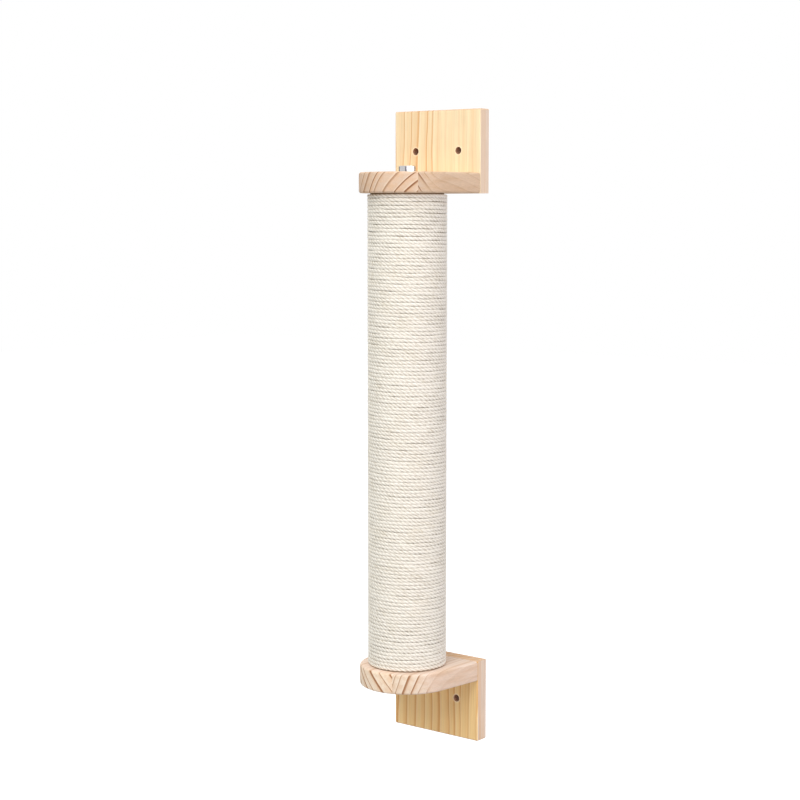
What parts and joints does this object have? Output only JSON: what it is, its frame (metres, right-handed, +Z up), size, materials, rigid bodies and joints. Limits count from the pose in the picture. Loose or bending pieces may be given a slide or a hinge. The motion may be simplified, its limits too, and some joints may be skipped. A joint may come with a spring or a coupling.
{
  "type": "wall mounted cat scratching post",
  "caption": "Rope-wound scratching post clamped by bolts between the rounded shelves of two pine wall brackets, screwed upright to a wall.",
  "frame": {"origin": "on the wall, at the middle of the four wall screw holes, behind the middle of the post", "axes": "+X to the right along the wall as a person faces it, +Y into the wall, +Z up along the post"},
  "size_m": [0.09, 0.092, 0.535],
  "materials": {
    "pine": "planed and lightly sanded pine, unvarnished",
    "plug_wood": "turned wood, raw",
    "tube_board": "spiral wound board",
    "rope": "natural cream rope, three strands, laid close",
    "zinc_steel": "bright zinc plated"
  },
  "bodies": {
    "root": {"upper_wall_plate": "pine", "upper_shelf": "pine", "upper_bracket_dowels": "plug_wood", "upper_post_bolt": "zinc_steel", "upper_plug_insert": "zinc_steel", "upper_end_plug": "plug_wood", "upper_plug_brads": "zinc_steel", "lower_wall_plate": "pine", "lower_shelf": "pine", "lower_bracket_dowels": "plug_wood", "lower_post_bolt": "zinc_steel", "lower_plug_insert": "zinc_steel", "lower_end_plug": "plug_wood", "lower_plug_brads": "zinc_steel", "post_tube": "tube_board", "rope_winding": "rope"}
  },
  "joints": []
}
